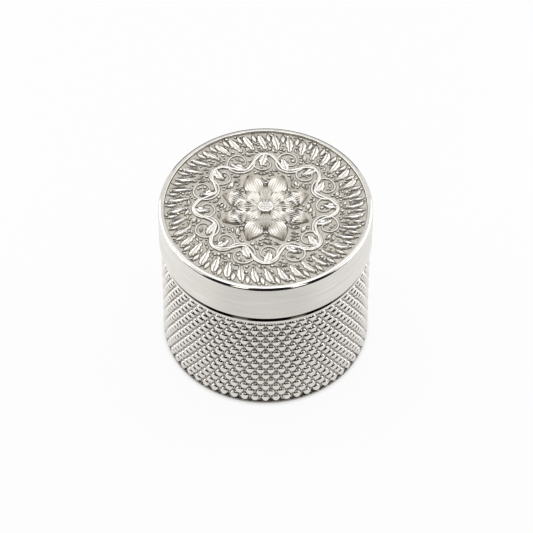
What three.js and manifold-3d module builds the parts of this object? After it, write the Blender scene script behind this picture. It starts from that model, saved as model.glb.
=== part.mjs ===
import * as THREE from 'three';
import { mergeVertices } from 'three/addons/utils/BufferGeometryUtils.js';
import Module from 'manifold-3d';

// A round silver box: a knurled body with a smooth inner cup, and a slip lid with a relief medallion.
// Millimetres, +Z up. The origin is the centre of the foot pad's underside.

// Overall form
const lidRadius = 28;
const bandHeight = 11.9;         // the lid's smooth side, from its open edge to its rim
const bodySetIn = 0.4;           // the crests of the knurl lie this far inside the lid's side
const shellHeight = 35.6;

// Knurl
const knurlPitch = 2.9;          // from crest to crest round the body
const knurlRise = 2.27;          // from one row of crests to the next, which lies half a pitch to the side
const knurlDepth = 0.7;
const landDrop = 0.25;           // the plain lands lie this far below the crests
const topLand = 1.15;            // above the knurl, where the chamfered shoulder rises to the shell's top
const shoulderRun = 0.85;
const bottomLand = 0.45;         // below the knurl, where the foot flares out a little
const footSetIn = 0.05;          // the foot's edge lies this far inside the crests

// Shell and base
const shellWall = 2.7;
const rebateWidth = 0.7;         // the step in the shell's bore that the base plate seats against
const plateThickness = 1.2;
const padThickness = 1;
const padProud = 0.4;            // the felt stands this far out below the shell
const padMargin = 0.5;

// Inner cup, whose top is the neck that the lid slips over
const cupWall = 1.5;
const cupFloor = 1.4;
const cupOuterCorner = 1.6;
const cupInnerCorner = 1.2;
const neckRound = 0.5;
const headGap = 0.7;             // from the neck's lip to the lid's back plate
const liningThickness = 1.2;
const liningRound = 0.45;
const liningMargin = 0.5;

// Seat ring, a thin washer round the neck that the lid's edge rests on
const seatThickness = 0.6;
const seatInset = 0.1;

// Lid
const lidEdgeRound = 0.85;
const rimWidth = 0.45;
const rimChamfer = 0.2;
const lidFootChamfer = 0.2;
const mouthChamfer = 0.5;        // the lead-in of the lid's bore
const flangeThickness = 1;
const flangeWidth = 1.55;
const backThickness = 1;
const lidLiningThickness = 1;

// Medallion
const medallionThickness = 2;
const medallionSink = 0.6;       // its field lies this far below the rim
const medallionChamfer = 0.2;

// Relief: a lotus in the middle, a leafy vine with tendrils round it and a fringe of long leaves
const reliefRoot = 0.3;          // how deep each form is rooted in the field
const podRadius = 2.1;
const podHeight = 1.25;
const podRound = 0.3;
const podRim = 0.35;             // width of the slope from the pod's edge down to its dish
const podDish = 0.16;
const petalCount = 8;
const petalEdge = 0.45;          // height of a petal's rim above the field
const petalTuck = 0.9;           // how far the inner petals run in under the pod
const innerPetalLength = 6.2;
const innerPetalWidth = 3.7;
const innerPetalHeight = 1.1;
const outerPetalShift = 1.2;     // from the pod's edge to the root of an outer petal
const outerPetalLength = 8.6;
const outerPetalWidth = 5.2;
const outerPetalHeight = 0.85;
const petalCrown = 0.8;          // the flat crown's share of a petal's width
const leafCrown = 0.6;           // the same for a leaf
const vineGap = 1.23;            // from the vine to the fringe
const vineWave = 12.9;
const vineSwing = 2.3;
const vineWidth = 0.74;
const vineCrown = 0.45;          // width of the vine's flat top
const vineHeight = 0.5;
const vineLeafLength = 4.3;
const vineLeafWidth = 2.5;
const vineLeafHeight = 0.58;
const tendrilWidth = 0.58;
const tendrilHeight = 0.44;
const tendrilInset = 3.1;        // from the top of a bend in to the middle of its tendril's coil
const tendrilEnd = 0.62;         // radius of the coil where the tendril ends
const tendrilTurns = 1.35;
const tendrilLead = 0.56;        // where a tendril leaves the vine, in half waves ahead of the bend
const fringeMargin = 0.3;        // from the leaf tips to the medallion's edge
const fringePitch = 3.2;
const fringeLength = 5.6;
const fringeWidth = 2.1;
const fringeHeight = 0.55;
const dartShift = 2.8;           // a short dart lies between two leaves, this far out from their roots
const dartLength = 3;
const dartWidth = 1.1;
const dartHeight = 0.46;

// Slants of the leaves, and how far a coil and a dart lie to one side, in radians
const vineLeafSlant = 0.45;
const fringeSlant = 0.2;
const dartSlant = 0.24;
const dartAside = 0.035;
const tendrilAside = 0.03;

// Fits
const fitGap = 0.3;              // between pieces that are pressed or glued together
const slipGap = 0.35;            // between the neck and what slips over it

// Facets
const innerSegments = 36;
const lidSegments = 60;
const podSegments = 20;
const roundSteps = 2;            // steps in a rounded edge
const petalStations = 4;
const leafStations = 2;
const dartStations = 1;
const vineSteps = 8;             // steps in each wave of the vine
const tendrilSteps = 10;

// Heights, stacked from the table up
const plateBottom = padThickness;
const plateTop = plateBottom + plateThickness;
const cupFloorTop = plateTop + cupFloor;
const shellTop = padProud + shellHeight;
const bandBottom = shellTop + seatThickness;
const lidTop = bandBottom + bandHeight;
const fieldTop = lidTop - medallionSink;
const ledgeTop = fieldTop - medallionThickness;
const flangeBottom = ledgeTop - flangeThickness;
const backBottom = flangeBottom - backThickness;
const neckTop = backBottom - headGap;

// Radii, from the outside in
const bodyRadius = lidRadius - bodySetIn;
const landRadius = bodyRadius - landDrop;
const valleyRadius = bodyRadius - knurlDepth;
const shoulderTop = landRadius - shoulderRun;
const boreRadius = bodyRadius - shellWall;
const rebateRadius = boreRadius + rebateWidth;
const plateRadius = rebateRadius - fitGap;
const cupRadius = boreRadius - fitGap;
const cupInside = cupRadius - cupWall;
const lidBore = cupRadius + slipGap;
const seatOuter = shoulderTop - seatInset;
const recessRadius = lidRadius - lidEdgeRound - rimWidth - rimChamfer;
const medallionRadius = recessRadius - fitGap;

const quarter = Math.PI / 2;
const wasm = await Module();
wasm.setup();

// A closed geometry as a solid that can be joined and cut, and back again
function solidOf(geometry) {
  const bare = geometry.clone();
  bare.deleteAttribute('normal');
  bare.deleteAttribute('uv');
  const merged = mergeVertices(bare, 1e-4);
  const vertProperties = merged.attributes.position.array;
  const triVerts = new Uint32Array(merged.index.array);
  return new wasm.Manifold(new wasm.Mesh({ numProp: 3, vertProperties, triVerts }));
}

function geometryOf(solid) {
  const mesh = solid.getMesh();
  const geometry = new THREE.BufferGeometry();
  geometry.setAttribute('position', new THREE.BufferAttribute(mesh.vertProperties, 3));
  geometry.setIndex(new THREE.BufferAttribute(mesh.triVerts, 1));
  geometry.computeVertexNormals();
  return geometry;
}

function indexedGeometry(positions, triangles) {
  const geometry = new THREE.BufferGeometry();
  geometry.setAttribute('position', new THREE.Float32BufferAttribute(positions, 3));
  geometry.setIndex(triangles);
  geometry.computeVertexNormals();
  return geometry;
}

// Turns a profile of [radius, height] points round the Z axis. It runs up the outside and down the inside.
function revolve(profile, segments = innerSegments) {
  const points = profile.map(([radius, height]) => new THREE.Vector2(radius, height));
  return new THREE.LatheGeometry(points, segments).rotateX(quarter);
}

// Points of an arc in a profile, from one angle to another
function arc(centreRadius, centreHeight, size, fromAngle, toAngle) {
  return Array.from({ length: roundSteps + 1 }, (_, step) => {
    const angle = fromAngle + ((toAngle - fromAngle) * step) / roundSteps;
    return [centreRadius + size * Math.cos(angle), centreHeight + size * Math.sin(angle)];
  });
}

// A plain disc, whose upper edge can be rounded
function disc(radius, bottom, top, edgeRound = 0) {
  const rounded = () => arc(radius - edgeRound, top - edgeRound, edgeRound, 0, quarter);
  const edge = edgeRound ? rounded() : [[radius, top]];
  return revolve([[0, bottom], [radius, bottom], ...edge, [0, top]]);
}

// The shell's outside is a stack of rings of points. In the knurl, crests and valleys take turns along
// each ring and from ring to ring. Each facet pair is split between its two valleys, so that every crest
// is the tip of a four-sided diamond.
function knurledBlank() {
  const crests = Math.round((2 * Math.PI * bodyRadius) / knurlPitch);
  const around = 2 * crests;
  const knurlBottom = padProud + bottomLand;
  const knurlTop = shellTop - topLand;
  const rows = Math.round((knurlTop - knurlBottom) / knurlRise);

  const rings = [{ level: padProud, radius: () => bodyRadius - footSetIn }];
  for (let row = 0; row <= rows; row++) {
    const plain = row === 0 || row === rows;
    rings.push({
      level: knurlBottom + ((knurlTop - knurlBottom) * row) / rows,
      radius: (column) => (plain ? landRadius : (column + row) % 2 ? bodyRadius : valleyRadius),
      splitOdd: row < rows && row % 2 === 1,
      knurled: row < rows,
    });
  }
  rings.push({ level: shellTop, radius: () => shoulderTop });

  const positions = [];
  for (const ring of rings) {
    for (let column = 0; column < around; column++) {
      const angle = (2 * Math.PI * column) / around;
      const radius = ring.radius(column);
      positions.push(radius * Math.cos(angle), radius * Math.sin(angle), ring.level);
    }
  }
  const bottomCentre = rings.length * around;
  const topCentre = bottomCentre + 1;
  positions.push(0, 0, padProud, 0, 0, shellTop);

  const triangles = [];
  for (let below = 0; below < rings.length - 1; below++) {
    const { knurled, splitOdd } = rings[below];
    for (let column = 0; column < around; column++) {
      const next = (column + 1) % around;
      const [a, b] = [below * around + column, below * around + next];
      const [d, c] = [a + around, b + around];
      const fromValley = !knurled || (column % 2 === 1) === splitOdd;
      triangles.push(...(fromValley ? [a, b, c, a, c, d] : [a, b, d, b, c, d]));
    }
  }
  const lastRing = (rings.length - 1) * around;
  for (let column = 0; column < around; column++) {
    const next = (column + 1) % around;
    triangles.push(bottomCentre, next, column);
    triangles.push(topCentre, lastRing + column, lastRing + next);
  }
  return indexedGeometry(positions, triangles);
}

// The knurled shell is bored right through, with a wider rebate below for the base plate
function bodyShell() {
  const bore = revolve([
    [0, 0],
    [rebateRadius, 0],
    [rebateRadius, plateTop],
    [boreRadius, plateTop],
    [boreRadius, lidTop],
    [0, lidTop],
  ]);
  return geometryOf(solidOf(knurledBlank()).subtract(solidOf(bore)));
}

// A spun cup that stands on the base plate. Its wall rises past the shell as the neck.
function innerCup() {
  const lip = Math.min(neckRound, 0.45 * cupWall);
  return revolve([
    [0, plateTop],
    ...arc(cupRadius - cupOuterCorner, plateTop + cupOuterCorner, cupOuterCorner, -quarter, 0),
    ...arc(cupRadius - lip, neckTop - lip, lip, 0, quarter),
    ...arc(cupInside + lip, neckTop - lip, lip, quarter, 2 * quarter),
    ...arc(cupInside - cupInnerCorner, cupFloorTop + cupInnerCorner, cupInnerCorner, 0, -quarter),
    [0, cupFloorTop],
  ]);
}

function seatRing() {
  return revolve([
    [lidBore, shellTop],
    [seatOuter, shellTop],
    [seatOuter, bandBottom],
    [lidBore, bandBottom],
    [lidBore, shellTop],
  ]);
}

// The band is turned in one piece: a bore that slips over the neck, a flange inside, and a recess above it
// for the medallion. The rim between the recess and the rounded outer edge is flat.
function lidBand() {
  const flangeRadius = lidBore - flangeWidth;
  return revolve([
    [lidBore + mouthChamfer, bandBottom],
    [lidRadius - lidFootChamfer, bandBottom],
    [lidRadius, bandBottom + lidFootChamfer],
    ...arc(lidRadius - lidEdgeRound, lidTop - lidEdgeRound, lidEdgeRound, 0, quarter),
    [recessRadius + rimChamfer, lidTop],
    [recessRadius, lidTop - rimChamfer],
    [recessRadius, ledgeTop],
    [flangeRadius, ledgeTop],
    [flangeRadius, flangeBottom],
    [lidBore, flangeBottom],
    [lidBore, bandBottom + mouthChamfer],
    [lidBore + mouthChamfer, bandBottom],
  ], lidSegments);
}

// Cross-sections of the raised forms, as [across, height] corners. Height 0 is the field, where a form has
// its full width. Its flanks run on below it, or go straight down where it has a stepped edge.
function ridge(width, crown, height) {
  const foot = (width + ((width - crown) * reliefRoot) / height) / 2;
  const base = [[-foot, -reliefRoot], [foot, -reliefRoot]];
  return crown > 0 ? [...base, [crown / 2, height], [-crown / 2, height]] : [...base, [0, height]];
}

function steppedRidge(width, crown, height, edge) {
  const half = width / 2;
  const base = [[-half, -reliefRoot], [half, -reliefRoot]];
  return [...base, [half, edge], [crown / 2, height], [-crown / 2, height], [-half, edge]];
}

// Joins equal sections, one after the other, into a closed skin. Its ends are points, flat, or joined up.
function skin(sections, ends) {
  const sides = sections[0].length;
  const count = sections.length;
  const positions = sections.flat(2);
  const triangles = [];
  for (let step = 0; step < (ends === 'joined' ? count : count - 1); step++) {
    for (let side = 0; side < sides; side++) {
      const [a, b] = [step * sides + side, step * sides + ((side + 1) % sides)];
      const [d, c] = [a, b].map((corner) => (corner + sides) % (count * sides));
      triangles.push(a, b, c, a, c, d);
    }
  }
  const last = (count - 1) * sides;
  for (let side = 1; ends === 'flat' && side < sides - 1; side++) {
    triangles.push(0, side + 1, side, last, last + side, last + side + 1);
  }
  return indexedGeometry(positions, triangles);
}

// A leaf or petal along +X, from a pointed root to a pointed tip
function leaf(length, section, stations) {
  const point = (x) => section.map(() => [x, 0, -reliefRoot]);
  const between = Array.from({ length: stations }, (_, station) => {
    const along = (1 - Math.cos((Math.PI * (station + 1)) / (stations + 1))) / 2;
    const breadth = Math.sin(Math.PI * along) ** 0.8;
    const swell = Math.sin(Math.PI * along) ** 0.3;
    return section.map(([across, rise]) => [
      length * along, across * breadth, rise > 0 ? rise * swell : rise,
    ]);
  });
  return skin([point(0), ...between, point(length)], 'points');
}

// A stem on the field along a path of [x, y] points. A closed path joins up with its start.
function stem(path, section, closed) {
  const last = path.length - 1;
  const sections = path.map(([x, y], step) => {
    const before = path[step > 0 ? step - 1 : closed ? last : 0];
    const after = path[step < last ? step + 1 : closed ? 0 : last];
    const heading = Math.atan2(after[1] - before[1], after[0] - before[0]);
    return section.map(([across, rise]) => [
      x - across * Math.sin(heading), y + across * Math.cos(heading), fieldTop + rise,
    ]);
  });
  return skin(sections, closed ? 'joined' : 'flat');
}

// Places a form on the field, at a radius and angle from the centre, turned to a heading
function onField(form, radius, angle, heading) {
  return form.rotateZ(heading).translate(radius * Math.cos(angle), radius * Math.sin(angle), fieldTop);
}

function ringOf(count, makeOne) {
  return Array.from({ length: count }, (_, index) => makeOne((2 * Math.PI * index) / count, index));
}

// A seed pod with a shallow dish, and two rings of petals round it, the outer ring turned by half a petal
function lotus() {
  const podBottom = fieldTop - reliefRoot;
  const podTop = fieldTop + podHeight;
  const pod = revolve([
    [0, podBottom],
    [podRadius, podBottom],
    [podRadius, podTop - podRound],
    [podRadius - podRound, podTop],
    [podRadius - podRound - podRim, podTop - podDish],
    [0, podTop - podDish],
  ], podSegments);
  const petal = (length, width, height) =>
    leaf(length, steppedRidge(width, petalCrown * width, height, petalEdge), petalStations);
  const inner = ringOf(petalCount, (angle) => onField(
    petal(innerPetalLength, innerPetalWidth, innerPetalHeight), podRadius - petalTuck, angle, angle,
  ));
  const halfTurn = Math.PI / petalCount;
  const outer = ringOf(petalCount, (angle) => onField(
    petal(outerPetalLength, outerPetalWidth, outerPetalHeight),
    podRadius + outerPetalShift, angle + halfTurn, angle + halfTurn,
  ));
  return [pod, ...inner, ...outer];
}

function leafOf(length, width, height, stations) {
  return leaf(length, ridge(width, leafCrown * width, height), stations);
}

// The vine swings in and out as it goes round. In the hollow of each bend it has a leaf, which grows from
// the top of the bend, and a tendril, which leaves the vine ahead of the bend and coils up.
function vine() {
  const fringeStart = medallionRadius - fringeMargin - fringeLength;
  const middle = fringeStart - vineGap - vineSwing - vineWidth / 2;
  const waves = Math.max(3, Math.round((2 * Math.PI * middle) / vineWave));
  const halfWave = Math.PI / waves;
  const onVine = (angle) => {
    const radius = middle + vineSwing * Math.cos(waves * angle);
    return [radius * Math.cos(angle), radius * Math.sin(angle)];
  };

  const path = ringOf(vineSteps * waves, onVine);
  const leaves = [];
  const tendrils = [];
  ringOf(2 * waves, (angle, bend) => {
    const side = bend % 2 === 0 ? 1 : -1;
    const heading = side > 0 ? angle + Math.PI - vineLeafSlant : angle + vineLeafSlant;
    const form = leafOf(vineLeafLength, vineLeafWidth, vineLeafHeight, leafStations);
    leaves.push(onField(form, middle + side * vineSwing, angle, heading));

    const coilRadius = middle + side * (vineSwing - tendrilInset);
    const coilX = coilRadius * Math.cos(angle + tendrilAside);
    const coilY = coilRadius * Math.sin(angle + tendrilAside);
    const [startX, startY] = onVine(angle - tendrilLead * halfWave);
    const first = Math.atan2(startY - coilY, startX - coilX);
    const reach = Math.hypot(startX - coilX, startY - coilY);
    const coil = Array.from({ length: tendrilSteps + 1 }, (_, step) => {
      const along = step / tendrilSteps;
      const turn = first + side * along * tendrilTurns * 2 * Math.PI;
      const size = tendrilEnd + (reach - tendrilEnd) * (1 - along) ** 0.8;
      return [coilX + size * Math.cos(turn), coilY + size * Math.sin(turn)];
    });
    tendrils.push(stem(coil, ridge(tendrilWidth, 0, tendrilHeight), false));
  });
  return [stem(path, ridge(vineWidth, vineCrown, vineHeight), true), ...leaves, ...tendrils];
}

// Long leaves, all slanting one way, with a short dart between each two
function fringe() {
  const start = medallionRadius - fringeMargin - fringeLength;
  const count = Math.max(3, Math.round((2 * Math.PI * start) / fringePitch));
  const leaves = ringOf(count, (angle) => onField(
    leafOf(fringeLength, fringeWidth, fringeHeight, leafStations), start, angle, angle + fringeSlant,
  ));
  const darts = ringOf(count, (angle) => {
    const between = angle + Math.PI / count;
    const form = leafOf(dartLength, dartWidth, dartHeight, dartStations);
    return onField(form, start + dartShift, between + dartAside, between + dartSlant);
  });
  return [...leaves, ...darts];
}

// The medallion is a cast disc. Its forms are joined to the plain field, and none reaches past its edge.
function reliefMedallion() {
  const blank = revolve([
    [0, ledgeTop],
    [medallionRadius, ledgeTop],
    [medallionRadius, fieldTop - medallionChamfer],
    [medallionRadius - medallionChamfer, fieldTop],
    [0, fieldTop],
  ], lidSegments);
  const lotusHeight = Math.max(podHeight, innerPetalHeight, outerPetalHeight);
  const highest = Math.max(lotusHeight, vineHeight, vineLeafHeight, fringeHeight);
  const room = revolve([
    [0, ledgeTop],
    [medallionRadius, ledgeTop],
    [medallionRadius, fieldTop + 2 * highest],
    [0, fieldTop + 2 * highest],
  ], lidSegments);
  const forms = [...lotus(), ...vine(), ...fringe()];
  const joined = forms.reduce((whole, form) => whole.add(solidOf(form)), solidOf(blank));
  return geometryOf(joined.intersect(solidOf(room)));
}

const polishedSilver = { color: 0xcfcac3, roughness: 0.25, metalness: 1 };
const brushedSilver = { color: 0xc9c6c1, roughness: 0.38, metalness: 1 };
const castSilver = { color: 0xc2bdb4, roughness: 0.42, metalness: 1 };
const velvet = { color: 0x23262b, roughness: 0.95, metalness: 0 };
const felt = { color: 0x2c2d2f, roughness: 1, metalness: 0 };
const seatLeather = { color: 0x3b2f28, roughness: 0.7, metalness: 0 };

function piece(name, geometry, finish) {
  const mesh = new THREE.Mesh(geometry, new THREE.MeshStandardMaterial(finish));
  mesh.name = name;
  return mesh;
}

const liningRadius = cupInside - liningMargin;
const floorLiningRadius = Math.min(liningRadius, cupInside - cupInnerCorner);
const liningTop = cupFloorTop + liningThickness;

const base = new THREE.Group();
base.add(
  piece('body_shell', bodyShell(), polishedSilver),
  piece('base_plate', disc(plateRadius, plateBottom, plateTop), brushedSilver),
  piece('foot_pad', disc(plateRadius - padMargin, 0, padThickness), felt),
  piece('inner_cup', innerCup(), brushedSilver),
  piece('floor_lining', disc(floorLiningRadius, cupFloorTop, liningTop, liningRound), velvet),
);

const seat = new THREE.Group();
seat.add(piece('seat_ring', seatRing(), seatLeather));

const lid = new THREE.Group();
lid.add(
  piece('lid_band', lidBand(), brushedSilver),
  piece('relief_medallion', reliefMedallion(), castSilver),
  piece('lid_back_plate', disc(lidBore - fitGap, backBottom, flangeBottom), brushedSilver),
  piece('lid_lining', disc(liningRadius, backBottom - lidLiningThickness, backBottom), velvet),
);

const silverBox = new THREE.Group();
silverBox.add(base, seat, lid);

export default silverBox;
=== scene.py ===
import bpy
import bmesh
import math
import random
import numpy
from mathutils import Matrix, Vector


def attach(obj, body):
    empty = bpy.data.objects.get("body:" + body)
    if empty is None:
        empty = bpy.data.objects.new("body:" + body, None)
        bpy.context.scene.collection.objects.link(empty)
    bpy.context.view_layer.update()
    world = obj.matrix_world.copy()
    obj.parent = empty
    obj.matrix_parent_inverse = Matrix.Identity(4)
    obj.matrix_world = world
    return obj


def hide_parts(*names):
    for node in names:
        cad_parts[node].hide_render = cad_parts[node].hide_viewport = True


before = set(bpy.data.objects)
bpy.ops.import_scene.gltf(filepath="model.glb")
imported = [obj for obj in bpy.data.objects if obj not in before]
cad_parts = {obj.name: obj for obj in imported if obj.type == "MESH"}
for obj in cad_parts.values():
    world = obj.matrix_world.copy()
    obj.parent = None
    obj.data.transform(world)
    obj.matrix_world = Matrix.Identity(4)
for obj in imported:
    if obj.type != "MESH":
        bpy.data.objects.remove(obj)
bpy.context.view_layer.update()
scene = bpy.context.scene
tiny = 0.000002        # points nearer than this are in the same place
fullTurn = 2 * math.pi


def clearSelection():
    for obj in list(bpy.context.selected_objects):
        obj.select_set(False)
    bpy.context.view_layer.objects.active = None


def work(obj):
    clearSelection()
    obj.select_set(True)
    bpy.context.view_layer.objects.active = obj


def startEdit(obj):
    work(obj)
    bpy.ops.object.mode_set(mode='EDIT')
    bpy.ops.mesh.select_mode(type='VERT')


def stopEdit():
    bpy.ops.object.mode_set(mode='OBJECT')


# selects the points whose place passes the test, or the edges both of whose ends do, and nothing else
def pick(obj, test, kind='VERT'):
    bpy.ops.mesh.select_all(action='DESELECT')
    bpy.ops.mesh.select_mode(type=kind)
    shape = bmesh.from_edit_mesh(obj.data)
    for part in shape.verts if kind == 'VERT' else shape.edges:
        ends = [part] if kind == 'VERT' else part.verts
        if all(test(end.co) for end in ends):
            part.select = True
    shape.select_flush_mode()
    bmesh.update_edit_mesh(obj.data)


def pickOpenEdges():
    bpy.ops.mesh.select_all(action='DESELECT')
    bpy.ops.mesh.select_mode(type='EDGE')
    bpy.ops.mesh.select_non_manifold(extend=False, use_wire=False, use_boundary=True,
                                     use_multi_face=False, use_non_contiguous=False, use_verts=False)


# adds one modifier with its settings, and applies it
def modify(obj, kind, **settings):
    modifier = obj.modifiers.new(kind, kind)
    for key, value in settings.items():
        setattr(modifier, key, value)
    work(obj)
    bpy.ops.object.modifier_apply(modifier=modifier.name)


def smooth(obj, degrees=35, weighted=False):
    work(obj)
    bpy.ops.object.shade_smooth_by_angle(angle=math.radians(degrees))
    if weighted:
        modify(obj, 'WEIGHTED_NORMAL', keep_sharp=True, weight=100)


# a new row of edges out of the selected ones, moved up by "rise" and then scaled about the centre
def extrudeEdges(rise, scale, centre=(0, 0, 0)):
    bpy.ops.mesh.extrude_edges_move(TRANSFORM_OT_translate={"value": (0, 0, rise)})
    bpy.ops.transform.resize(value=scale, center_override=centre)


def weld(distance=tiny):
    bpy.ops.mesh.select_all(action='SELECT')
    bpy.ops.mesh.remove_doubles(threshold=distance)
    bpy.ops.mesh.normals_make_consistent(inside=False)


def fromAxis(co):
    return math.hypot(co.x, co.y)


# A turned piece: a ring is extruded from corner to corner of its profile, then its corners are rounded.
# Each corner is (radius, height, size of the round, steps in the round). A radius of 0 is a point on the
# axis, and is a tiny ring until it is merged.
def turnPiece(name, corners, around=160):
    clearSelection()
    seed = 0.0001
    radius, height = max(corners[0][0], seed), corners[0][1]
    bpy.ops.mesh.primitive_circle_add(vertices=around, radius=radius, location=(0, 0, height))
    piece = bpy.context.object
    piece.name = name
    piece.data.name = name
    bpy.ops.object.transform_apply()
    startEdit(piece)
    bpy.ops.mesh.select_all(action='SELECT')
    closed = corners[0][0] > 0
    for corner in corners[1:] + (corners[:1] if closed else []):
        nextRadius = max(corner[0], seed)
        grow = nextRadius / radius
        extrudeEdges(corner[1] - height, (grow, grow, 1))
        radius, height = nextRadius, corner[1]
    if not closed:
        for end in (corners[0], corners[-1]):
            pick(piece, lambda co: fromAxis(co) < 1.5 * seed and abs(co.z - end[1]) < tiny)
            bpy.ops.mesh.merge(type='CENTER')
    weld()
    for corner in corners:
        if len(corner) > 2:
            pick(piece, lambda co: math.dist((fromAxis(co), co.z), corner[:2]) < tiny, 'EDGE')
            bpy.ops.mesh.bevel(offset=corner[2], segments=corner[3], affect='EDGES', clamp_overlap=False)
    stopEdit()
    smooth(piece, weighted=True)
    return piece


def joinPieces(name, pieces):
    clearSelection()
    for piece in pieces:
        piece.select_set(True)
    bpy.context.view_layer.objects.active = pieces[0]
    bpy.ops.object.join()
    joined = bpy.context.object
    joined.name = name
    joined.data.name = name
    return joined


# Copies of one shape, each with its own mesh, joined into one piece
def plant(name, shape, places):
    copies = []
    for place in places:
        copy = shape.copy()
        copy.data = shape.data.copy()
        copy.data.transform(place)
        scene.collection.objects.link(copy)
        copies.append(copy)
    bpy.data.objects.remove(shape)
    return joinPieces(name, copies)


def polar(radius, angle):
    return radius * math.cos(angle), radius * math.sin(angle)


def placed(x, y, heading=0, size=1):
    turned = Matrix.Rotation(heading, 4, 'Z') @ Matrix.Diagonal((size, size, 1, 1))
    return Matrix.Translation((x, y, 0)) @ turned


# Materials

# turns a hex colour, as a screen shows it, to the linear values that a material takes
def rgb(code):
    parts = [int(code[i:i + 2], 16) / 255 for i in (1, 3, 5)]
    return [c / 12.92 if c <= 0.04045 else ((c + 0.055) / 1.055) ** 2.4 for c in parts] + [1.0]


# gives a node its inputs, by name or number or as a list in their order: plain values, or links from
# sockets or from the first outputs of nodes
def feed(material, node, inputs):
    if isinstance(inputs, list):
        inputs = dict(enumerate(inputs))
    for key, value in inputs.items():
        if isinstance(value, bpy.types.Node):
            value = value.outputs[0]
        if isinstance(value, bpy.types.NodeSocket):
            material.node_tree.links.new(value, node.inputs[key])
        else:
            node.inputs[key].default_value = value


# adds one node, with its inputs, the stops of its ramp if it has one, and its own settings by name
def addNode(material, kind, inputs=None, stops=(), **settings):
    node = material.node_tree.nodes.new('ShaderNode' + kind)
    for key, value in settings.items():
        setattr(node, key, value)
    feed(material, node, inputs or {})
    for stop in stops[2:]:
        node.color_ramp.elements.new(0.5)
    if stops:
        for element, (at, colour) in zip(node.color_ramp.elements, stops):
            element.position = at
            element.color = rgb(colour)
    return node


def newMaterial(name, **values):
    material = bpy.data.materials.new(name)
    material.use_nodes = True
    surface = material.node_tree.nodes['Principled BSDF']
    feed(material, surface, values)
    return material, surface


# where each point of a turned piece is, and how far from the axis and how high up
def axisPlace(material):
    place = addNode(material, 'TexCoord').outputs['Object']
    split = addNode(material, 'SeparateXYZ', [place])
    flat = addNode(material, 'CombineXYZ', [split.outputs[0], split.outputs[1]])
    radius = addNode(material, 'VectorMath', [flat], operation='LENGTH')
    return {"place": place, "radius": radius.outputs['Value'], "height": split.outputs[2]}


# nearly all of a noise lies between these, so they stand for its lowest and highest values
noiseLow, noiseHigh = 0.3, 0.7
# A mix node takes its two colours as 6 and 7, and gives the mixed one as 2. A map range takes its value,
# the range that it comes from and the range that it goes to.

# Silver, turned on a lathe and brushed: fine lines run round the axis, so it shines softly and evenly.
satinValues = {
    "light": "#E0DDD8", "dark": "#D0CDC8",
    "lineSpacing": 0.00022,      # real brush lines are near 0.05 mm, drawn coarser so that they show
    "lineLength": 0.012,
    "patch": 1 / 140, "patchDull": "#6E6E6E", "patchPale": "#8C8C8C", "patchShare": 0.3,
    "roughLow": 0.26, "roughHigh": 0.4,
    "lineDepth": 0.0000025,
}


def makeSatinSilver(values):
    material, surface = newMaterial('silverTurnedBrushed', Metallic=1.0)
    at = axisPlace(material)
    along, across = 1 / values["lineLength"], 1 / values["lineSpacing"]
    stretch = addNode(material, 'Mapping', {'Vector': at["place"], 'Scale': (along, along, across)})
    inward = addNode(material, 'Math', [at["radius"], across], operation='MULTIPLY')
    lines = addNode(material, 'TexNoise', {
        'Vector': stretch, 'W': inward, 'Scale': 1.0, 'Detail': 2.0, 'Roughness': 0.6,
    }, noise_dimensions='4D')
    patch = addNode(material, 'TexNoise', {
        'Vector': at["place"], 'Scale': 1 / values["patch"], 'Detail': 3.0,
    })
    colour = addNode(material, 'ValToRGB', [lines], [
        (noiseLow, values["dark"]), (noiseHigh, values["light"]),
    ])
    shade = addNode(material, 'ValToRGB', [patch], [
        (noiseLow, values["patchDull"]), (noiseHigh, values["patchPale"]),
    ])
    mixed = addNode(material, 'Mix', {
        0: values["patchShare"], 6: colour, 7: shade,
    }, data_type='RGBA', blend_type='SOFT_LIGHT')
    rough = addNode(material, 'MapRange', [
        lines, noiseLow, noiseHigh, values["roughHigh"], values["roughLow"],
    ])
    bump = addNode(material, 'Bump', {'Distance': values["lineDepth"], 'Height': lines})
    feed(material, surface, {'Base Color': mixed.outputs[2], 'Roughness': rough, 'Normal': bump})
    return material


# Silver, knurled and then polished: the domes are bright, grey tarnish stays round their feet, and each crest
# is painted lighter towards its top, as painted shading that makes it look round.
polishedValues = {
    # colours from the groove, past the dome's foot and flank, to its crest: tarnish at the foot, then painted
    # shading that grows lighter up the crest
    "tarnishAndPaintedShadeUpTheDome": [(0.0, "#C0BCB5"), (0.06, "#989289"), (0.2, "#989289"), (0.36, "#CDC9C3"), (1.0, "#DDDAD5")],
    "grooveRadius": 0.02675, "crestRadius": 0.0276,
    # the wall made darker at its foot, and a painted shadow on the shoulder where the lid's edge overhangs
    # it: how high up it lies, and its colour
    "wallTop": 0.036,
    "darkFootAndPaintedLidShadow": [(0.0004, "#9A9996"), (0.0009, "#A9A7A4"), (0.0014, "#FFFFFF"), (0.03462, "#FFFFFF"),
             (0.03472, "#514B43"), (0.03486, "#514B43"), (0.03506, "#2C2722")],
    "handlingMarks": 0.0009, "unevenness": 0.1,
    "roughLow": 0.06, "roughHigh": 0.2, "roughBelow": 0.1, "smoothAbove": 0.6,
    "ripple": 0.0014, "rippleDepth": 0.00001,
}


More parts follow.
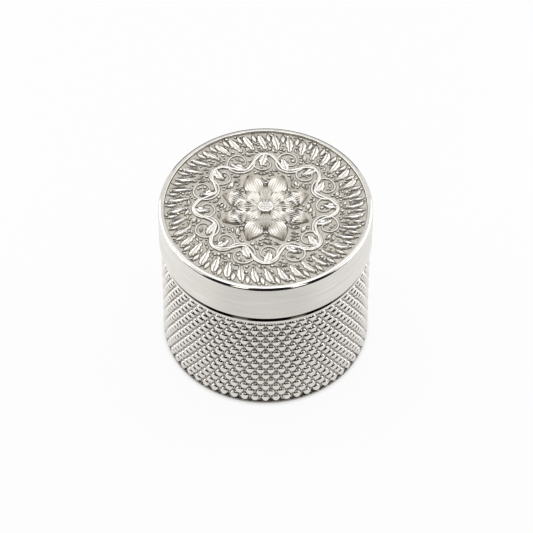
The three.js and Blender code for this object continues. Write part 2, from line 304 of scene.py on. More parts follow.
def makePolishedSilver(values):
    material, surface = newMaterial('silverKnurledPolished', Metallic=1.0)
    at = axisPlace(material)
    depth = addNode(material, 'MapRange', [at["radius"], values["grooveRadius"], values["crestRadius"]])
    marks = addNode(material, 'TexNoise', {
        'Vector': at["place"], 'Scale': 1 / values["handlingMarks"], 'Detail': 4.0, 'Roughness': 0.6,
    })
    uneven = addNode(material, 'MapRange', [
        marks, noiseLow, noiseHigh, -values["unevenness"], values["unevenness"],
    ])
    domeLevelWithWear = addNode(material, 'Math', [depth, uneven], operation='ADD', use_clamp=True)
    # tarnish round each dome's foot, and painted shading lighter towards the crest's top
    colour = addNode(material, 'ValToRGB', [domeLevelWithWear], values["tarnishAndPaintedShadeUpTheDome"])
    # by height up the wall: darker at the foot, and painted shadow under the lid's edge
    level = addNode(material, 'MapRange', [at["height"], 0, values["wallTop"]])
    darkFootAndPaintedLidShadow = addNode(material, 'ValToRGB', [level], [
        (height / values["wallTop"], code) for height, code in values["darkFootAndPaintedLidShadow"]
    ])
    darker = addNode(material, 'Mix', {0: 1.0, 6: colour, 7: darkFootAndPaintedLidShadow}, data_type='RGBA', blend_type='DARKEN')
    rough = addNode(material, 'MapRange', [
        domeLevelWithWear, values["roughBelow"], values["smoothAbove"], values["roughHigh"], values["roughLow"],
    ])
    waves = addNode(material, 'TexNoise', {
        'Vector': at["place"], 'Scale': 1 / values["ripple"], 'Detail': 1.0,
    })
    bump = addNode(material, 'Bump', {'Distance': values["rippleDepth"], 'Height': waves})
    feed(material, surface, {'Base Color': darker.outputs[2], 'Roughness': rough, 'Normal': bump})
    return material


# Silver, buffed to a mirror: the rim of the lid, with a few fine marks from handling.
buffedValues = {
    "touch": [(0.35, "#CFCBC5"), (0.6, "#DEDBD6")],
    "marks": 0.0011, "markLow": 0.35, "markHigh": 0.65, "roughLow": 0.05, "roughHigh": 0.12,
}


def makeBuffedSilver(values):
    material, surface = newMaterial('silverBuffed', Metallic=1.0)
    place = addNode(material, 'TexCoord').outputs['Object']
    marks = addNode(material, 'TexNoise', {
        'Vector': place, 'Scale': 1 / values["marks"], 'Detail': 5.0, 'Roughness': 0.65,
    })
    colour = addNode(material, 'ValToRGB', [marks], values["touch"])
    rough = addNode(material, 'MapRange', [
        marks, values["markLow"], values["markHigh"], values["roughHigh"], values["roughLow"],
    ])
    feed(material, surface, {'Base Color': colour, 'Roughness': rough})
    return material


# Silver, cast: the ground is blasted matt, the foot of each form is painted dark, partly as oxide that
# collects there and partly as painted shade where it meets the ground, and the tops are burnished.
castValues = {
    "field": 0.0479,
    "mottle": [(0.38, "#A7A298"), (0.6, "#C9C5BD")], "mottleShare": 0.45,
    "oxideAndShadeHem": "#645E54", "flank": "#B4B0A8", "top": "#DEDBD6",
    "oxideAndShadeHemTop": 0.00010, "flankTop": 0.00022, "burnished": 0.00042, "unevenness": 0.00005,
    "grain": 0.00030,            # blasted grain is near 0.1 mm, drawn coarser so that it shows
    "blotch": 0.0016,
    "groundRough": 0.46, "groundRougher": 0.6, "topRough": 0.22, "smoothFrom": 0.2,
    "grainDepth": 0.00003, "reliefGrainDepth": 0.0000105,
}


def makeCastSilver(name, values, relief):
    material, surface = newMaterial(name, Metallic=1.0)
    at = axisPlace(material)
    grain = addNode(material, 'TexNoise', {
        'Vector': at["place"], 'Scale': 1 / values["grain"], 'Detail': 3.0, 'Roughness': 0.65,
    })
    if relief:
        rise = addNode(material, 'Math', [at["height"], values["field"]], operation='SUBTRACT')
        uneven = addNode(material, 'MapRange', [
            grain, noiseLow, noiseHigh, -values["unevenness"], values["unevenness"],
        ])
        level = addNode(material, 'Math', [rise, uneven], operation='ADD')
        share = addNode(material, 'MapRange', [level, 0, values["burnished"]])
        # dark at the foot of each form, partly oxide and partly painted shade, then the flank, then the
        # burnished top
        colour = addNode(material, 'ValToRGB', [share], [
            (0.0, values["oxideAndShadeHem"]), (values["oxideAndShadeHemTop"] / values["burnished"], values["oxideAndShadeHem"]),
            (values["flankTop"] / values["burnished"], values["flank"]), (1.0, values["top"]),
        ])
        rough = addNode(material, 'MapRange', [
            share, values["smoothFrom"], 1, values["groundRough"], values["topRough"],
        ])
        depth = values["reliefGrainDepth"]
    else:
        blotch = addNode(material, 'TexNoise', {
            'Vector': at["place"], 'Scale': 1 / values["blotch"], 'Detail': 4.0, 'Roughness': 0.6,
        })
        mixed = addNode(material, 'Mix', {0: values["mottleShare"], 6: grain, 7: blotch}, data_type='RGBA')
        colour = addNode(material, 'ValToRGB', [mixed.outputs[2]], values["mottle"])
        rough = addNode(material, 'MapRange', [
            grain, noiseLow, noiseHigh, values["groundRough"], values["groundRougher"],
        ])
        depth = values["grainDepth"]
    bump = addNode(material, 'Bump', {'Distance': depth, 'Height': grain})
    feed(material, surface, {'Base Color': colour, 'Roughness': rough, 'Normal': bump})
    return material


# Cotton velvet, short pile: dark, with a pale sheen where the pile is seen from the side.
velvetValues = {
    "pile": [(0.2, "#1B1E23"), (0.8, "#30343B")], "sheen": "#8A93A0", "sheenWeight": 0.6,
    "tuft": 0.00035, "brushed": 0.006, "pileDepth": 0.00018, "rough": 0.95, "sheenRough": 0.4,
}


# Wool felt, pressed: dull and dark, with fibres lying every way.
feltValues = {
    "pile": [(0.2, "#26282A"), (0.8, "#3A3C3E")], "sheen": "#6E7174", "sheenWeight": 0.25,
    "tuft": 0.00055, "brushed": 0.004, "pileDepth": 0.00012, "rough": 0.95, "sheenRough": 0.4,
}


def makeCloth(name, values):
    material, surface = newMaterial(name, Roughness=values["rough"])
    place = addNode(material, 'TexCoord').outputs['Object']
    tuft = addNode(material, 'TexNoise', {
        'Vector': place, 'Scale': 1 / values["tuft"], 'Detail': 3.0, 'Roughness': 0.7,
    })
    brushed = addNode(material, 'TexNoise', {
        'Vector': place, 'Scale': 1 / values["brushed"], 'Detail': 2.0,
    })
    both = addNode(material, 'Math', [tuft, brushed], operation='ADD')
    share = addNode(material, 'MapRange', [both, 2 * noiseLow, 2 * noiseHigh])
    colour = addNode(material, 'ValToRGB', [share], values["pile"])
    bump = addNode(material, 'Bump', {'Distance': values["pileDepth"], 'Height': tuft})
    feed(material, surface, {
        'Base Color': colour, 'Normal': bump, 'Sheen Weight': values["sheenWeight"],
        'Sheen Roughness': values["sheenRough"], 'Sheen Tint': rgb(values["sheen"]),
    })
    return material


# Vegetable-tanned leather, cut thin: dark brown, with small pebbled grain.
leatherValues = {
    "pebble": [(0.1, "#4A3A30"), (0.7, "#2A201A")], "grain": 0.0007, "grainDepth": 0.00005, "rough": 0.62,
}


def makeLeather(values):
    material, surface = newMaterial('leatherTanned', Roughness=values["rough"])
    place = addNode(material, 'TexCoord').outputs['Object']
    grain = addNode(material, 'TexVoronoi', {'Vector': place, 'Scale': 1 / values["grain"]})
    colour = addNode(material, 'ValToRGB', [grain], values["pebble"])
    bump = addNode(material, 'Bump', {'Distance': values["grainDepth"], 'Height': grain}, invert=True)
    feed(material, surface, {'Base Color': colour, 'Normal': bump})
    return material


satinSilver = makeSatinSilver(satinValues)
polishedSilver = makePolishedSilver(polishedValues)
buffedSilver = makeBuffedSilver(buffedValues)
groundSilver = makeCastSilver('silverCastBlasted', castValues, False)
reliefSilver = makeCastSilver('silverCastBurnished', castValues, True)
velvet = makeCloth('velvetCotton', velvetValues)
felt = makeCloth('feltWool', feltValues)
leather = makeLeather(leatherValues)
print("materials ready")


def finishPiece(piece, body, material, nodes):
    piece.data.materials.clear()
    piece.data.materials.append(material)
    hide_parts(*nodes)
    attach(piece, body)
    clearSelection()


# Knurled wall
wallShape = {
    "columns": 60, "rows": 14,
    "foot": 0.0004, "knurlBottom": 0.0, "knurlTop": 0.03485, "top": 0.036,
    "land": 0.02735, "footLand": 0.02745, "valley": 0.02675,
    "shoulder": 0.0347, "shoulderTop": 0.0265, "shoulderEdge": (0.00012, 0.0001), "topEdge": 0.0001,
    "footChamfer": 0.00006,
    "bore": 0.0249, "rebate": 0.0256, "rebateTop": 0.0022,
    "domeHeight": 0.00085, "domeWidth": 0.0027, "domeTall": 0.0032,
    # rings up each dome from its foot: share of the width, of the length and of the height, and how
    # round it is, where 1 is a sharp diamond and 2 an ellipse
    "rings": [(1.0, 1.0, 0.0, 1.3), (0.8, 0.77, 0.6, 1.5), (0.6, 0.58, 0.87, 1.8), (0.0, 0.0, 1.0, 1.0)],
    # for each land: which way it lies, where the domes are cut short, how flat its scallops are, its
    # edge and its radius
    "lands": [(1, 0.0337, 0.25, 0.03402, 0.02735), (-1, 0.00096, 0.1, 0.00072, 0.02745)],
    "squeeze": 0.12, "landStep": 0.00008,
    # how far the domes stray, over what distance each way, and how far from the sheet's ends that starts
    "handWork": 0.00034, "handWorkSpread": {"X": 0.0031, "Z": 0.0035}, "handWorkFrom": 0.002,
    "columnWeld": 0.00001, "seamWeld": 0.00002,
}


# One dome of the knurl, in the plane of the wall: the diamond round it meets its neighbours'. The grid stands
# on one corner, so its squares lie one inside the other as the dome's rings.
def makeDome(shape, pitch, rise):
    clearSelection()
    bpy.ops.mesh.primitive_grid_add(x_subdivisions=8, y_subdivisions=8, size=2)
    dome = bpy.context.object
    dome.rotation_euler = (0, 0, math.radians(45))
    bpy.ops.object.transform_apply()
    startEdit(dome)
    half, near = math.sqrt(0.5), 0.01
    # each ring is lifted out of the way by 1 when it is done, and all come down again at the end
    for step, (across, upward, height, power) in enumerate(shape["rings"]):
        ring = 0.75 - 0.25 * step

        def onRing(co):
            first, second = (co.x + co.y) * half, (co.y - co.x) * half
            return abs(max(abs(first), abs(second)) - ring) < near and abs(co.z) < near

        pick(dome, onRing)
        if across > 0:
            points = bmesh.from_edit_mesh(dome.data)
            for point in points.verts:
                if point.select:
                    turn = math.atan2(point.co.y, point.co.x)
                    out = (abs(math.cos(turn)) ** power + abs(math.sin(turn)) ** power) ** (-1 / power)
                    point.co.x = out * math.cos(turn) * across * shape["domeWidth"] / (pitch * half)
                    point.co.y = out * math.sin(turn) * upward * shape["domeTall"] / (2 * rise * half)
            bmesh.update_edit_mesh(dome.data)
        bpy.ops.transform.translate(value=(0, 0, 1 + height))
    pick(dome, lambda co: co.z > 0.5)
    bpy.ops.transform.translate(value=(0, 0, -1))
    stopEdit()
    dome.scale = (pitch / 2 * half, rise * half, shape["domeHeight"])
    dome.rotation_euler = (math.radians(90), 0, 0)
    bpy.ops.object.transform_apply()
    return dome


# worked by hand, the domes aren't all quite in line; at the sheet's ends they are, so that it closes
def driftDomes(wall, shape, halfLength):
    hand = wall.vertex_groups.new(name='handWork')
    for point in wall.data.vertices:
        share = (halfLength - abs(point.co.x)) / (2 * shape["handWorkFrom"]) - 0.5
        hand.add([point.index], min(1, max(0, share)), 'REPLACE')
    for axis, spread in shape["handWorkSpread"].items():
        drift = bpy.data.textures.new('handWork' + axis, 'CLOUDS')
        drift.noise_scale = spread
        modify(wall, 'DISPLACE', texture=drift, texture_coords='LOCAL', direction=axis,
               strength=shape["handWork"], vertex_group=hand.name)


def makeKnurledWall(shape):
    pitch = fullTurn * shape["valley"] / shape["columns"]
    rise = (shape["knurlTop"] - shape["knurlBottom"]) / (shape["rows"] + 1)
    dome = makeDome(shape, pitch, rise)
    # two staggered columns, then sixty of them side by side
    places = [Matrix.Translation((pitch / 2 * (row % 2), 0, shape["knurlBottom"] + (row + 1) * rise))
              for row in range(shape["rows"])]
    wall = plant('knurledWall', dome, places)
    startEdit(wall)
    bpy.ops.mesh.select_all(action='SELECT')
    bpy.ops.transform.translate(value=(-pitch * (shape["columns"] // 2), 0, 0))
    stopEdit()
    modify(wall, 'ARRAY', count=shape["columns"], use_relative_offset=False, use_constant_offset=True,
           constant_offset_displace=(pitch, 0, 0), use_merge_vertices=True,
           merge_threshold=shape["columnWeld"])
    driftDomes(wall, shape, pitch * shape["columns"] / 2)

    # the flat sheet is rolled up, and its ends meet
    xs = [point.co.x for point in wall.data.vertices]
    bend = (max(xs) - min(xs)) / shape["valley"]
    modify(wall, 'SIMPLE_DEFORM', deform_method='BEND', deform_axis='Z', angle=bend)
    startEdit(wall)
    bpy.ops.mesh.select_all(action='SELECT')
    bpy.ops.transform.translate(value=(0, -shape["valley"], 0))
    bpy.ops.mesh.remove_doubles(threshold=shape["seamWeld"])
    stopEdit()
    return wall


# The zigzag edge of the last row is evened out into shallow scallops, and steps out to a plain ring
def growLand(wall, shape, way, cut, flatness, edge, land):
    startEdit(wall)
    pick(wall, lambda co: (co.z - cut) * way > 0)
    bpy.ops.transform.resize(value=(1, 1, shape["squeeze"]), center_override=(0, 0, cut))
    middle = (shape["knurlBottom"] + shape["knurlTop"]) / 2
    pickOpenEdges()
    mesh = bmesh.from_edit_mesh(wall.data)
    for line in mesh.edges:
        if line.select and (line.verts[0].co.z - middle) * way < 0:
            line.select = False
    mesh.select_flush_mode()
    tip = max(point.co.z * way for point in mesh.verts if point.select) * way
    bmesh.update_edit_mesh(wall.data)
    grow = land / shape["valley"]
    extrudeEdges(way * tiny, (1, 1, flatness), (0, 0, tip))
    extrudeEdges(way * shape["landStep"], (grow, grow, 1))
    extrudeEdges(0, (1, 1, 0), (0, 0, edge))
    stopEdit()


def closeWall(wall, shape):
    startEdit(wall)
    # from the top land over the shoulder and down the bore, and from below up the rebate to meet it
    inward, upward = shape["shoulderEdge"]
    upper = [
        (shape["land"], shape["shoulder"]), (shape["land"] - inward, shape["shoulder"] + upward),
        (shape["shoulderTop"], shape["top"] - shape["topEdge"]),
        (shape["shoulderTop"] - shape["topEdge"], shape["top"]),
        (shape["bore"], shape["top"]), (shape["bore"], shape["rebateTop"]),
    ]
    lower = [
        (shape["footLand"], shape["foot"] + shape["footChamfer"]),
        (shape["footLand"] - shape["footChamfer"], shape["foot"]),
        (shape["rebate"], shape["foot"]), (shape["rebate"], shape["rebateTop"]),
        (shape["bore"], shape["rebateTop"]),
    ]
    for land, profile in ((shape["lands"][0], upper), (shape["lands"][1], lower)):
        height, radius = land[3:]
        pick(wall, lambda co: abs(co.z - height) < tiny, 'EDGE')
        for nextRadius, nextHeight in profile:
            grow = nextRadius / radius
            extrudeEdges(nextHeight - height, (grow, grow, 1))
            radius, height = nextRadius, nextHeight
    weld(tiny * 3)
    stopEdit()
    smooth(wall, 40)
    return wall


rolledWall = makeKnurledWall(wallShape)
for land in wallShape["lands"]:
    growLand(rolledWall, wallShape, *land)
knurledWall = closeWall(rolledWall, wallShape)
finishPiece(knurledWall, 'base', polishedSilver, ['body_shell'])
print("knurled wall ready", len(knurledWall.data.polygons))


# Inner cup: spun in one piece with its floor, and its wall rises past the body as the lid's neck
cupShape = {
    "outside": 0.0246, "inside": 0.0231, "underside": 0.0022, "floor": 0.0036, "rim": 0.0432,
    "undersideRound": 0.0016, "floorRound": 0.0012, "rimRound": 0.0005,
}


def makeCup(outside, inside, underside, floor, rim, undersideRound, floorRound, rimRound):
    return turnPiece('innerCup', [
        (0, underside), (outside, underside, undersideRound, 6), (outside, rim, rimRound, 5),
        (inside, rim, rimRound, 5), (inside, floor, floorRound, 6), (0, floor),
    ])


innerCup = makeCup(**cupShape)
finishPiece(innerCup, 'base', satinSilver, ['inner_cup'])

# Seat ring: a thin leather washer that the lid's edge rests on
ringShape = {"inside": 0.02495, "outside": 0.0264, "bottom": 0.036, "top": 0.0366, "edge": 0.00008}


def makeRing(inside, outside, bottom, top, edge):
    return turnPiece('seatRing', [
        (inside, bottom), (outside, bottom, edge, 2), (outside, top, edge, 2), (inside, top),
    ])


seatRing = makeRing(**ringShape)
finishPiece(seatRing, 'seat', leather, ['seat_ring'])

# Lid band: its bore slips over the neck, and a recess in its top holds the medallion on a ledge
lidShape = {
    "outside": 0.028, "bore": 0.02495, "recess": 0.0265, "ledge": 0.0234,
    "bottom": 0.0366, "top": 0.0485, "ledgeTop": 0.0459, "ledgeBottom": 0.0449,
    "mouthEdge": 0.0005, "bottomRound": 0.0002, "topRound": 0.00092, "recessRound": 0.0002,
}


def makeLidBand(outside, bore, recess, ledge, bottom, top, ledgeTop, ledgeBottom,
                mouthEdge, bottomRound, topRound, recessRound):
    return turnPiece('lidBand', [
        (bore, bottom, mouthEdge, 1), (outside, bottom, bottomRound, 3), (outside, top, topRound, 12),
        (recess, top, recessRound, 4), (recess, ledgeTop), (ledge, ledgeTop),
        (ledge, ledgeBottom), (bore, ledgeBottom),
    ], around=240)


lidBand = makeLidBand(**lidShape)
finishPiece(lidBand, 'lid', satinSilver, ['lid_band'])
lidBand.data.materials.append(buffedSilver)
# the rim is buffed: what lies above the start of its rounded edge, and the recess down to its ledge
buffed = {"edge": 0.04759, "ledge": 0.0459, "recess": 0.0266}
for face in lidBand.data.polygons:
    inside = face.center.z > buffed["ledge"] and fromAxis(face.center) < buffed["recess"]
    if face.center.z > buffed["edge"] or inside:
        face.material_index = 1


# Cloth discs, each soft at its outer edge and a little crowned: "inner" is the height of the side that is
# stuck to the metal, and "outer" that of the free one
floorShape = {"radius": 0.0219, "inner": 0.0036, "outer": 0.0048, "edge": 0.00045, "crown": 0.00012}
liningShape = {"radius": 0.0226, "inner": 0.0439, "outer": 0.0429, "edge": 0.00045, "crown": 0.00012}
footShape = {"radius": 0.0248, "inner": 0.001, "outer": 0.0, "edge": 0.00012, "crown": 0.0}


crownRings = [(0.66, 0.25), (0.33, 0.05)]    # shares of the radius, and of the crown's fall there
backEdge = 0.0001


def makePad(name, radius, inner, outer, edge, crown):
    crown = math.copysign(crown, outer - inner)
    return turnPiece(name, [
        (0, inner), (radius - backEdge, inner, backEdge, 2), (radius, outer - crown, edge, 6),
        *[(radius * out, outer - crown * fall) for out, fall in crownRings], (0, outer),
    ], around=128)


floorLining = makePad('floorLining', **floorShape)
finishPiece(floorLining, 'base', velvet, ['floor_lining'])
lidLining = makePad('lidLining', **liningShape)
finishPiece(lidLining, 'lid', velvet, ['lid_lining'])
footPad = makePad('footPad', **footShape)
finishPiece(footPad, 'base', felt, ['foot_pad'])

for name in ('base_plate', 'lid_back_plate'):
    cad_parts[name].data.materials.clear()
    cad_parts[name].data.materials.append(satinSilver)
print("turned pieces ready")


# Medallion: a flat field, and the relief that stands on it
field = castValues["field"]
groundShape = {"radius": 0.02645, "underside": 0.0459, "edge": 0.0001, "rings": (0.02, 0.01)}


def makeGround(radius, underside, edge, rings):
    return turnPiece('medallionGround', [
        (0, underside), (radius, underside), (radius, field, edge, 3),
        *[(ring, field) for ring in rings], (0, field),
    ], around=240)


medallionGround = makeGround(**groundShape)
finishPiece(medallionGround, 'lid', groundSilver, ['relief_medallion'])

# where each form lies on the field, as (x, y, room it takes)
taken = []

# round the foot of each form: how far its flank and its hem reach, and how high they lie. The hem is painted
# dark, partly as oxide and partly as painted shade.
flank = {"spread": 0.00006, "level": 0.00012}
oxideAndShadeHem = {"spread": 0.00016, "level": 0.00004}
rootDepth = 0.0001
thinnest = 0.04        # a leaf's tip keeps this share of its width
# the room of a leaf is marked at spots along it: how many, where they start and how far on they end as
# shares of its length, and the share of its width that it takes at its ends
leafRoom = {"spots": 6, "start": 0.08, "along": 0.84, "ends": 0.55}


# One leaf or petal along +X from its root. "section" gives heights from the middle out to the rim, and
# "stations" the width and height at each place along it. A flat hem lies round its foot, and the material
# paints it dark, partly as oxide and partly as painted shade.
def carveLeaf(name, shape):
    length, width = shape["length"], shape["width"]
    section, stations = shape["section"], shape["stations"]
    clearSelection()
    bpy.ops.mesh.primitive_grid_add(x_subdivisions=len(stations) - 1, y_subdivisions=2 * (len(section) - 1),
                                    size=2, location=(length / 2, 0, field))
    leaf = bpy.context.object
    leaf.name = name
    leaf.scale = (length / 2, width / 2, 1)
    bpy.ops.object.transform_apply()
    startEdit(leaf)
    for row, height in enumerate(section):
        away = width / 2 * row / (len(section) - 1)
        pick(leaf, lambda co: abs(abs(co.y) - away) < tiny)
        bpy.ops.transform.translate(value=(0, 0, height * shape["height"]))
    for column, (broad, swell) in enumerate(stations):
        along = length * column / (len(stations) - 1)
        pick(leaf, lambda co: abs(co.x - along) < tiny)
        bpy.ops.transform.resize(value=(1, max(broad, thinnest), swell), center_override=(along, 0, field))
    pickOpenEdges()
    grown = 0
    for hem in (flank, oxideAndShadeHem, {"spread": 0, "level": -rootDepth}):
        before = grown
        grown += hem["spread"]
        longer, wider = [(size + 2 * grown) / (size + 2 * before) for size in (length, width)]
        extrudeEdges(0, (longer, wider, 0), (length / 2, 0, field + hem["level"]))
    bpy.ops.mesh.edge_face_add()
    bpy.ops.mesh.select_all(action='SELECT')
    bpy.ops.mesh.normals_make_consistent(inside=False)
    stopEdit()
    if shape.get("curl"):
        modify(leaf, 'SIMPLE_DEFORM', deform_method='BEND', deform_axis='Z', angle=shape["curl"])
    smooth(leaf, 55)
    return leaf


# the place of one leaf, whose room is marked as taken
def setLeaf(leaf, radius, angle, heading, size=1):
    x, y = polar(radius, angle)
    last = leafRoom["spots"] - 1
    for step in range(last + 1):
        reach = leaf["length"] * size * (leafRoom["start"] + leafRoom["along"] * step / last)
        room = leaf["width"] / 2 * size * (leafRoom["ends"] if step in (0, last) else 1)
        taken.append((x + reach * math.cos(heading), y + reach * math.sin(heading), room))
    return placed(x, y, heading, size)


# Lotus: a seed pod and two rings of petals
lotusShape = {
    "petals": 8, "innerRoot": 0.0012, "outerRoot": 0.0033,
    "pod": 0.0021, "podTop": 0.04905, "podFoot": 0.92, "podLip": 0.78, "podHollow": 0.7,
    "hollowDepth": 0.00016,
    "seed": 0.00034, "seeds": 6, "seedCircle": 0.00092,
    # corners of a seed: share of its radius, and height above the pod's top
    "seedProfile": [(0, -0.0003), (1, -0.0003), (1, -0.00012), (0.72, 0.00004), (0, 0.00008)],
}
innerPetal = {
    "length": 0.0062, "width": 0.0037, "height": 0.00118,
    "section": [0.64, 0.98, 0.6, 0.92, 0.55, 0.8, 0.36],
    "stations": [(0.2, 0.55), (0.36, 0.66), (0.55, 0.74), (0.74, 0.82), (0.9, 0.9), (1.0, 0.97), (1.0, 1.0),
                 (0.88, 1.0), (0.66, 1.0), (0.4, 0.95), (0.12, 0.8)],
}
outerPetal = {
    "length": 0.0086, "width": 0.0052, "height": 0.00092,
    "section": [0.56, 0.98, 0.56, 0.94, 0.52, 0.87, 0.46, 0.74, 0.32],
    "stations": [(0.2, 0.4), (0.3, 0.5), (0.44, 0.6), (0.6, 0.72), (0.76, 0.82), (0.9, 0.92), (1.0, 1.0),
                 (1.0, 1.04), (0.92, 1.04), (0.76, 1.0), (0.54, 0.96), (0.32, 0.88), (0.1, 0.7)],
}


def makeLotus(shape):
    parts = []
    step = fullTurn / shape["petals"]
    for petal, root, shift in ((innerPetal, shape["innerRoot"], 0), (outerPetal, shape["outerRoot"], 0.5)):
        places = []
        for number in range(shape["petals"]):
            angle = (number + shift) * step
            places.append(setLeaf(petal, root, angle, angle))
        parts.append(plant('petals', carveLeaf('petal', petal), places))
    wide, top, hollow = shape["pod"], shape["podTop"], shape["podTop"] - shape["hollowDepth"]
    pod = turnPiece('pod', [
        (0, field - rootDepth), (wide * shape["podFoot"], field - rootDepth), (wide, top, 0.0003, 4),
        (wide * shape["podLip"], top), (wide * shape["podHollow"], hollow), (0, hollow),
    ], around=48)
    seed = turnPiece('seed', [(shape["seed"] * share, top + rise) for share, rise in shape["seedProfile"]],
                     around=12)
    seeds = [placed(0, 0)] + [placed(*polar(shape["seedCircle"], number * fullTurn / shape["seeds"]))
                              for number in range(shape["seeds"])]
    parts.append(pod)
    parts.append(plant('seeds', seed, seeds))
    return joinPieces('reliefLotus', parts)


# Vine: a stem that swings in and out, with a curling tendril in each bend
vineShape = {
    "middle": 0.0164, "swing": 0.0023, "waves": 8, "steps": 24, "stemRoom": 0.0006,
    "width": 0.00074, "height": 0.0005, "hem": 0.00014,
    # the stem's rounded side, as shares of half its width and of its height
    "side": [(1.05, 0.2), (0.86, 0.7), (0.4, 0.97)],
    # tendrils: where they leave the stem and where they wind to, as shares of a bend, and how they thin out
    "coilInset": 0.0031, "coilLean": 0.03, "coilStart": 0.56, "coilSteps": 30,
    "coilEnd": 0.00062, "coilTurns": 1.35, "coilEase": 0.8, "coilSize": (0.85, 0.25), "coilRoom": 0.00052,
    "leafLean": 0.45,
}


# a curve of straight pieces, through points given as (x, y, thickness)
def drawLine(name, dimensions, points, height, closed):
    curve = bpy.data.curves.new(name, 'CURVE')
    curve.dimensions = dimensions
    spline = curve.splines.new('POLY')
    spline.points.add(len(points) - 1)
    for point, (x, y, size) in zip(spline.points, points):
        point.co = (x, y, height, 1)
        point.radius = size
    spline.use_cyclic_u = closed
    line = bpy.data.objects.new(name, curve)
    scene.collection.objects.link(line)
    return line


def stemLine(name, points, section, closed):
    stem = drawLine(name, '3D', points, field, closed)
    stem.data.twist_mode = 'Z_UP'
    stem.data.bevel_mode = 'OBJECT'
    stem.data.bevel_object = section
    stem.data.use_fill_caps = not closed
    work(stem)
    bpy.ops.object.convert(target='MESH')
    return bpy.context.object


# the stem's cross-section, from the root on one side, over the top and down to the root on the other
def makeSection(shape):
    half, foot = shape["width"] / 2, shape["width"] / 2 + shape["hem"]
    side = [(foot, -rootDepth), (foot, oxideAndShadeHem["level"])]
    side += [(half * out, shape["height"] * rise) for out, rise in shape["side"]]
    corners = [(x, y, 1.0) for x, y in side] + [(-x, y, 1.0) for x, y in reversed(side)]
    return drawLine('stemSection', '2D', corners, 0, True)


def vinePoint(angle, shape):
    return polar(shape["middle"] + shape["swing"] * math.cos(shape["waves"] * angle), angle)


# one tendril: it leaves the stem before a bend and winds up inside it, outwards or inwards of the stem
def coilPoints(shape, side, bend):
    cx, cy = polar(shape["middle"] + side * (shape["swing"] - shape["coilInset"]), bend + shape["coilLean"])
    sx, sy = vinePoint(bend - shape["coilStart"] * math.pi / shape["waves"], shape)
    first, reach = math.atan2(sy - cy, sx - cx), math.hypot(sx - cx, sy - cy)
    thick, thinner = shape["coilSize"]
    coil = []
    for step in range(shape["coilSteps"] + 1):
        along = step / shape["coilSteps"]
        wind = first + side * along * shape["coilTurns"] * fullTurn
        size = shape["coilEnd"] + (reach - shape["coilEnd"]) * (1 - along) ** shape["coilEase"]
        coil.append((cx + size * math.cos(wind), cy + size * math.sin(wind), thick - thinner * along))
    return coil


def makeVine(shape):
    section = makeSection(shape)
    count = shape["waves"] * shape["steps"]
    points = [vinePoint(fullTurn * step / count, shape) for step in range(count)]
    taken.extend((x, y, shape["stemRoom"]) for x, y in points)
    parts = [stemLine('stem', [(x, y, 1.0) for x, y in points], section, True)]
    turns = [fullTurn * number / shape["waves"] for number in range(shape["waves"])]
    for side, bend in ((1, 0), (-1, math.pi / shape["waves"])):
        coil = coilPoints(shape, side, bend)
        tendril = stemLine('tendril', coil, section, False)
        for turn in turns:
            across, up = math.cos(turn), math.sin(turn)
            taken.extend((x * across - y * up, x * up + y * across, shape["coilRoom"]) for x, y, size in coil)
        parts.append(plant('tendrils', tendril, [placed(0, 0, turn) for turn in turns]))
    bpy.data.objects.remove(section)
    vine = joinPieces('reliefVine', parts)
    startEdit(vine)
    weld()
    stopEdit()
    smooth(vine, 50)
    return vine


vineLeaf = {
    "length": 0.0043, "width": 0.0025, "height": 0.0006,
    "section": [0.5, 0.98, 0.8, 0.36],
    "stations": [(0.14, 0.6), (0.7, 0.86), (0.56, 0.8), (1.0, 1.0), (0.74, 0.86), (0.86, 1.0), (0.5, 0.84),
                 (0.5, 0.94), (0.08, 0.6)],
    "curl": 0.5,
}
fringeLeaf = {
    "length": 0.0056, "width": 0.0021, "height": 0.00058,
    "section": [0.46, 0.98, 0.8, 0.34],
    "stations": [(0.16, 0.6), (0.56, 0.86), (0.5, 0.8), (0.92, 1.0), (0.78, 0.88), (1.0, 1.0), (0.76, 0.86),
                 (0.62, 0.96), (0.1, 0.6)],
    "curl": 0.35,
}
dartLeaf = {
    "length": 0.0030, "width": 0.0011, "height": 0.00046,
    "section": [1.0, 0.8, 0.4],
    "stations": [(0.2, 0.6), (0.7, 0.9), (1.0, 1.0), (0.7, 0.9), (0.1, 0.6)],
}
sprigLeaf = {
    "length": 0.0021, "width": 0.0008, "height": 0.00042,
    "section": [1.0, 0.5],
    "stations": [(0.2, 0.6), (0.8, 0.95), (1.0, 1.0), (0.6, 0.9), (0.1, 0.6)],
    "curl": 0.5,
}
fillLeaf = {
    "length": 0.0029, "width": 0.0012, "height": 0.0005,
    "section": [0.6, 1.0, 0.42],
    "stations": [(0.14, 0.6), (0.74, 0.9), (1.0, 1.0), (0.72, 0.95), (0.1, 0.6)],
    "curl": 0.6,
}


def makeVineLeaves(shape):
    places = []
    for bend in range(2 * shape["waves"]):
        angle = bend * math.pi / shape["waves"]
        if bend % 2 == 0:
            radius, heading = shape["middle"] + shape["swing"], angle + math.pi - shape["leafLean"]
        else:
            radius, heading = shape["middle"] - shape["swing"], angle + shape["leafLean"]
        places.append(setLeaf(vineLeaf, radius, angle, heading))
    return plant('vineLeaves', carveLeaf('vineLeaf', vineLeaf), places)


# Fringe: leaves side by side round the field, with a dart between each two
fringeShape = {
    "count": 40, "start": 0.0203, "lean": 0.2, "dartStart": 0.0231, "dartShift": 0.035, "dartLean": 0.24,
}


def makeFringe(shape):
    places, darts = [], []
    for number in range(shape["count"]):
        angle = fullTurn * number / shape["count"]
        places.append(setLeaf(fringeLeaf, shape["start"], angle, angle + shape["lean"]))
        between = angle + 0.5 * fullTurn / shape["count"]
        darts.append(setLeaf(dartLeaf, shape["dartStart"], between + shape["dartShift"],
                             between + shape["dartLean"]))
    leaves = plant('fringeLeaves', carveLeaf('fringeLeaf', fringeLeaf), places)
    return joinPieces('reliefFringe', [leaves, plant('darts', carveLeaf('dartLeaf', dartLeaf), darts)])


